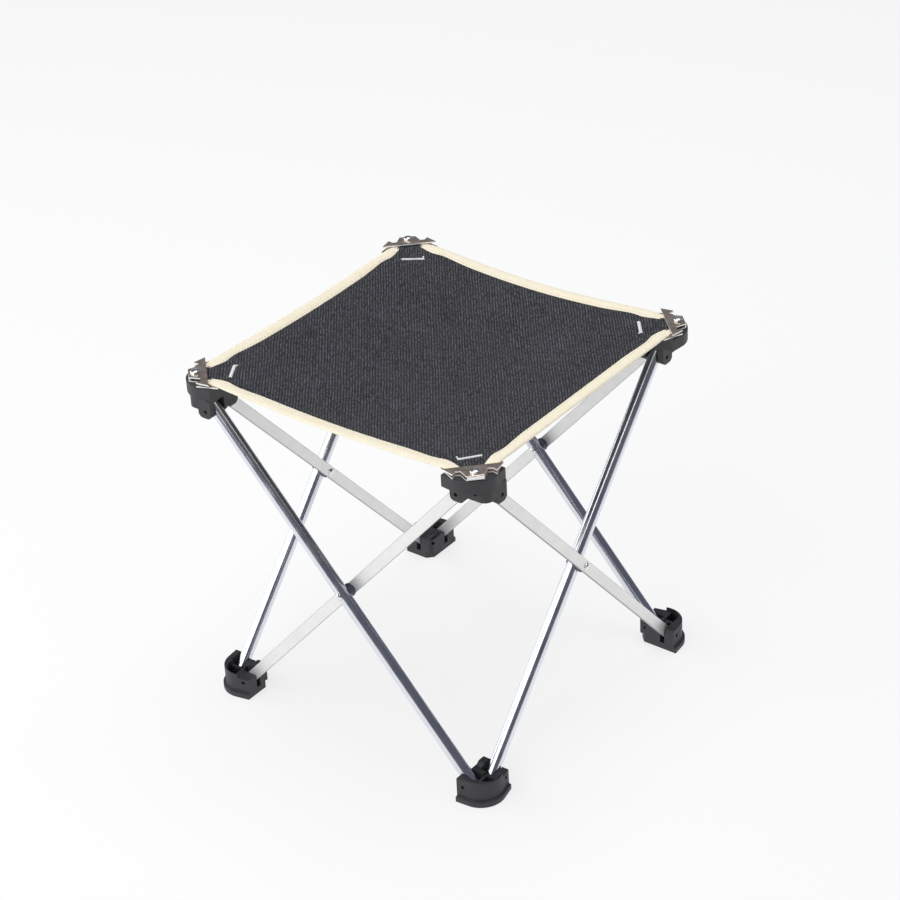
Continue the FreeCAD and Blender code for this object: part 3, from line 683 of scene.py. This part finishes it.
def tape_stitches(rings):
    """A running stitch along the groove near the tape's inner edge."""
    groove = [share for share, height in tape_section()].index(STITCH_IN)
    line = [ring[groove] for ring in rings]
    lengths = [0.0]
    for a, b in zip(line, line[1:]):
        lengths.append(lengths[-1] + (b - a).length)

    def at(distance):
        k = max(i for i, value in enumerate(lengths[:-1]) if value <= distance)
        share = (distance - lengths[k]) / (lengths[k + 1] - lengths[k])
        return line[k].lerp(line[k + 1], share)

    parts = ([], [])
    for i in range(int((lengths[-1] - STITCH_FREE_END) / STITCH_PITCH)):
        begin = STITCH_START + i * STITCH_PITCH
        end = begin + STITCH_LENGTH
        add_part(parts, capsule(at(begin), at(end), STITCH_RADIUS, STITCH_ARCH))
    return parts


def add_faces(bm, vertices, faces):
    made = [bm.verts.new(v) for v in vertices]
    for face in faces:
        bm.faces.new([made[i] for i in face])


def cut_by_fold(parts, inside):
    """Part of a piece on one side of the fold line, closed where it is cut."""
    bm = bmesh.new()
    add_faces(bm, *parts)
    keep_side(bm, FOLD_AT, diagonal() if inside else -diagonal())
    border = [e for e in bm.edges if e.is_boundary]
    if border:
        bmesh.ops.holes_fill(bm, edges=border, sides=0)
    bmesh.ops.recalc_face_normals(bm, faces=bm.faces[:])
    return bm


def whole_stitches(parts, inside):
    """The stitches whose middle lies on one side of the fold line."""
    per = THREAD_SIDES * len(THREAD_PROFILE)
    kept = ([], [])
    for first in range(0, len(parts[0]), per):
        points = parts[0][first:first + per]
        middle = sum(points, Vector()) / per
        if (middle.dot(diagonal()) < FOLD_AT.dot(diagonal())) == inside:
            faces = [f for f in parts[1] if first <= f[0] < first + per]
            add_part(kept, (points, [tuple(i - first for i in f) for f in faces]))
    return kept


def tape_piece(name, corner, inside, node, body):
    """Both strips of edge tape at a corner, on one side of the fold line, with their stitches."""
    bm = bmesh.new()
    for side in ("x", "y"):
        rings = tape_rings(corner, side)
        strip = cut_by_fold(loft(rings), inside)
        copy_into(bm, strip)
        strip.free()
        before = len(bm.faces)
        add_faces(bm, *whole_stitches(tape_stitches(rings), inside))
        bm.faces.ensure_lookup_table()
        for face in bm.faces[before:]:
            face.material_index = 1
    bmesh.ops.recalc_face_normals(bm, faces=bm.faces[:])
    materials = [TAPE, TAPE_THREAD]
    obj = seat_piece(name, corner, bm, materials, TAPE_SHARP_ANGLE, node, body)
    return obj


def copy_into(target, source):
    made = {v: target.verts.new(v.co) for v in source.verts}
    for face in source.faces:
        target.faces.new([made[v] for v in face.verts])


# ---- Bar-tacks -----------------------------------------------------------------------------

# Each tack's place and small irregularities, in the corner's plan.
TACK_OUT = {"front": -23.5 * MM, "right": -29.0 * MM, "back": -30.5 * MM, "left": -27.5 * MM}
TACK_HALF = 8.6 * MM
TACK_WIDE = 2.7 * MM
TACK_SKEW = {"front": -1.0 * MM, "right": 0.9 * MM, "back": 1.4 * MM, "left": 2.2 * MM}
TACK_TICK = {"front": -2.6 * MM, "right": -1.4 * MM, "back": 2.6 * MM, "left": -1.6 * MM}
TACK_THREADS = 40
TACK_SLANT = 0.25 * MM
TACK_RADIUS = 0.30 * MM
TACK_ARCH = 0.42 * MM
TACK_LIFT = 0.02 * MM
TICK_THREADS = 7
TICK_WIDE = 1.1 * MM

# The tick starts and ends beside the bar's end: a share of TACK_TICK, and how far inside the end.
TICK_START = (0.45, 0.5 * MM)
TICK_END = (1.4, -0.2 * MM)


def tack_line(corner, start, end, count, wide):
    """Satin stitch: threads laid side by side across a line in the corner's plan."""
    turn = quarter_turn(corner)
    parts = ([], [])
    along = Vector(end) - Vector(start)
    across = Vector((-along.y, along.x)).normalized()
    for i in range(count):
        middle = Vector(start) + along * (i / (count - 1))
        skew = along.normalized() * (TACK_SLANT if i % 2 else -TACK_SLANT)
        ends = []
        for sign in (-1, 1):
            out, wide_at = middle + across * (sign * wide / 2) + skew * sign
            x, y = plan(out, wide_at)
            place = turn @ Vector((x, y, 0))
            top = seat_z(place.x, place.y) + FABRIC_THICK / 2
            ends.append(Vector((x, y, top + TACK_LIFT)))
        add_part(parts, capsule(ends[0], ends[1], TACK_RADIUS, TACK_ARCH))
    return parts


def bar_tack(corner):
    """The white bar of stitches behind each clamp, with a short tick at one end."""
    word = CORNERS[corner]
    parts = ([], [])
    out, skew, tick = TACK_OUT[word], TACK_SKEW[word], TACK_TICK[word]
    left, right = (out - skew, -TACK_HALF), (out + skew, TACK_HALF)
    add_part(parts, tack_line(corner, left, right, TACK_THREADS, TACK_WIDE))
    start, end = [
        (left[0] + tick * share, left[1] + inside) for share, inside in (TICK_START, TICK_END)]
    add_part(parts, tack_line(corner, start, end, TICK_THREADS, TICK_WIDE))
    vertices = [quarter_turn(corner) @ v for v in parts[0]]
    obj = object_from_faces(f"bar_tack_{word}", vertices, parts[1], WHITE_THREAD)
    smooth_by_angle(obj)
    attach(obj, f"seat_{word}")
    return obj


def seat():
    """The seat's four quarters: each has a tab held in the clamp and a panel that folds down."""
    for corner, word in enumerate(CORNERS):
        hub_body, seat_body = f"hub_{word}", f"seat_{word}"
        tape_tab = tape_piece(f"tape_tab_{word}", corner, False, f"tab_binding_{word}", hub_body)
        tape_panel = tape_piece(
            f"tape_panel_{word}", corner, True, f"panel_binding_{word}", seat_body)
        tack = bar_tack(corner)

        bm = fabric_grid(corner)
        keep_side(bm, FOLD_AT, diagonal())
        area = min(sum(face.calc_area() for face in bm.faces), EDGE_HALF * EDGE_HALF)
        panel = fabric_piece(
            f"fabric_panel_{word}", corner, bm, f"seat_panel_{word}", seat_body)

        bm = fabric_grid(corner)
        keep_side(bm, FOLD_AT, -diagonal())
        for point, normal in tab_cuts():
            keep_side(bm, point, normal)
        area = sum(face.calc_area() for face in bm.faces)
        tab = fabric_piece(f"fabric_tab_{word}", corner, bm, f"seat_tab_{word}", hub_body)

        for piece in (panel, tape_panel, tack):
            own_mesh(piece)


# ---- Studio --------------------------------------------------------------------------------

CAMERA_AZIMUTH = 38.70
CAMERA_ELEVATION = 32.94
CAMERA_ROLL = -3.114
CAMERA_DISTANCE = 1.931
CAMERA_TARGET = Vector((0, 0, 0.1305))
CAMERA_LENS = 99.8
CAMERA_SHIFT = (0.0019, 0.0835)
FLOOR_COLOR = (0.24, 0.24, 0.24)
FLOOR_GLOW = 0.74
FLOOR_HALF = 6.0
FLOOR_DROP = 0.3 * MM
LIT_POINT = Vector((0, 0, 0.15))
AMBIENT = (0.90, 0.93, 1.0)
AMBIENT_STRENGTH = 0.42
MIRRORED = (0.110, 0.115, 0.142)


def camera():
    """A camera that looks at the target from an azimuth and elevation, rolled about its axis."""
    azimuth, elevation, roll = map(
        math.radians, (CAMERA_AZIMUTH, CAMERA_ELEVATION, CAMERA_ROLL))
    level = math.cos(elevation)
    back = Vector((math.sin(azimuth) * level, -math.cos(azimuth) * level, math.sin(elevation)))
    right = Vector((math.cos(azimuth), math.sin(azimuth), 0))
    up = back.cross(right)
    turned_right = right * math.cos(roll) + up * math.sin(roll)
    turned_up = up * math.cos(roll) - right * math.sin(roll)
    data = bpy.data.cameras.new("camera")
    data.lens = CAMERA_LENS
    data.sensor_width = 36
    data.shift_x, data.shift_y = CAMERA_SHIFT
    data.clip_start = 0.05
    data.clip_end = 50
    obj = link_object("camera", data)
    basis = Matrix((turned_right, turned_up, back)).transposed().to_4x4()
    obj.matrix_world = Matrix.Translation(CAMERA_TARGET + back * CAMERA_DISTANCE) @ basis
    bpy.context.scene.camera = obj


def floor():
    """A plain pale floor, large enough to fill the view, that glows a little."""
    made = Nodes("floor", FLOOR_COLOR, roughness=0.9, Specular_IOR_Level=0.1)
    made.shader.inputs["Emission Color"].default_value = (1, 1, 1, 1)
    made.shader.inputs["Emission Strength"].default_value = FLOOR_GLOW
    signs = [(-1, -1), (1, -1), (1, 1), (-1, 1)]
    corners = [(FLOOR_HALF * x, FLOOR_HALF * y, 0) for x, y in signs]
    obj = object_from_faces("floor", corners, [(0, 1, 2, 3)], made.material)
    obj.location.z = -FLOOR_DROP


def area_light(name, toward, distance, size, power):
    """A soft box that stands in a direction from the stool and points at it."""
    data = bpy.data.lights.new(name, "AREA")
    data.shape = "RECTANGLE"
    data.size, data.size_y = size
    data.energy = power
    obj = link_object(name, data)
    direction = Vector(toward).normalized()
    obj.location = LIT_POINT + direction * distance
    obj.rotation_euler = (-direction).to_track_quat("-Z", "Y").to_euler()


def world():
    """Pale light all round, but a dim slate room in what polished parts mirror."""
    data = bpy.data.worlds.new("studio")
    bpy.context.scene.world = data
    data.use_nodes = True
    tree = data.node_tree
    pale = tree.nodes["Background"]
    pale.inputs["Color"].default_value = (*AMBIENT, 1)
    pale.inputs["Strength"].default_value = AMBIENT_STRENGTH
    dim = tree.nodes.new("ShaderNodeBackground")
    dim.inputs["Color"].default_value = (*MIRRORED, 1)
    ray = tree.nodes.new("ShaderNodeLightPath")
    mix = tree.nodes.new("ShaderNodeMixShader")
    tree.links.new(ray.outputs["Is Glossy Ray"], mix.inputs["Fac"])
    tree.links.new(pale.outputs["Background"], mix.inputs[1])
    tree.links.new(dim.outputs["Background"], mix.inputs[2])
    tree.links.new(mix.outputs["Shader"], tree.nodes["World Output"].inputs["Surface"])


def studio():
    world()
    area_light("front_left", (-0.10, -0.75, 0.66), 2.4, (2.0, 1.9), 24)
    area_light("left", (-0.90, -0.38, 0.30), 2.4, (2.0, 2.0), 20)
    area_light("top", (0.0, 0.2, 1.0), 2.2, (1.4, 1.4), 18)
    bpy.context.scene.view_settings.view_transform = "Standard"


finish_cad_nodes()
seat()
camera()
floor()
studio()
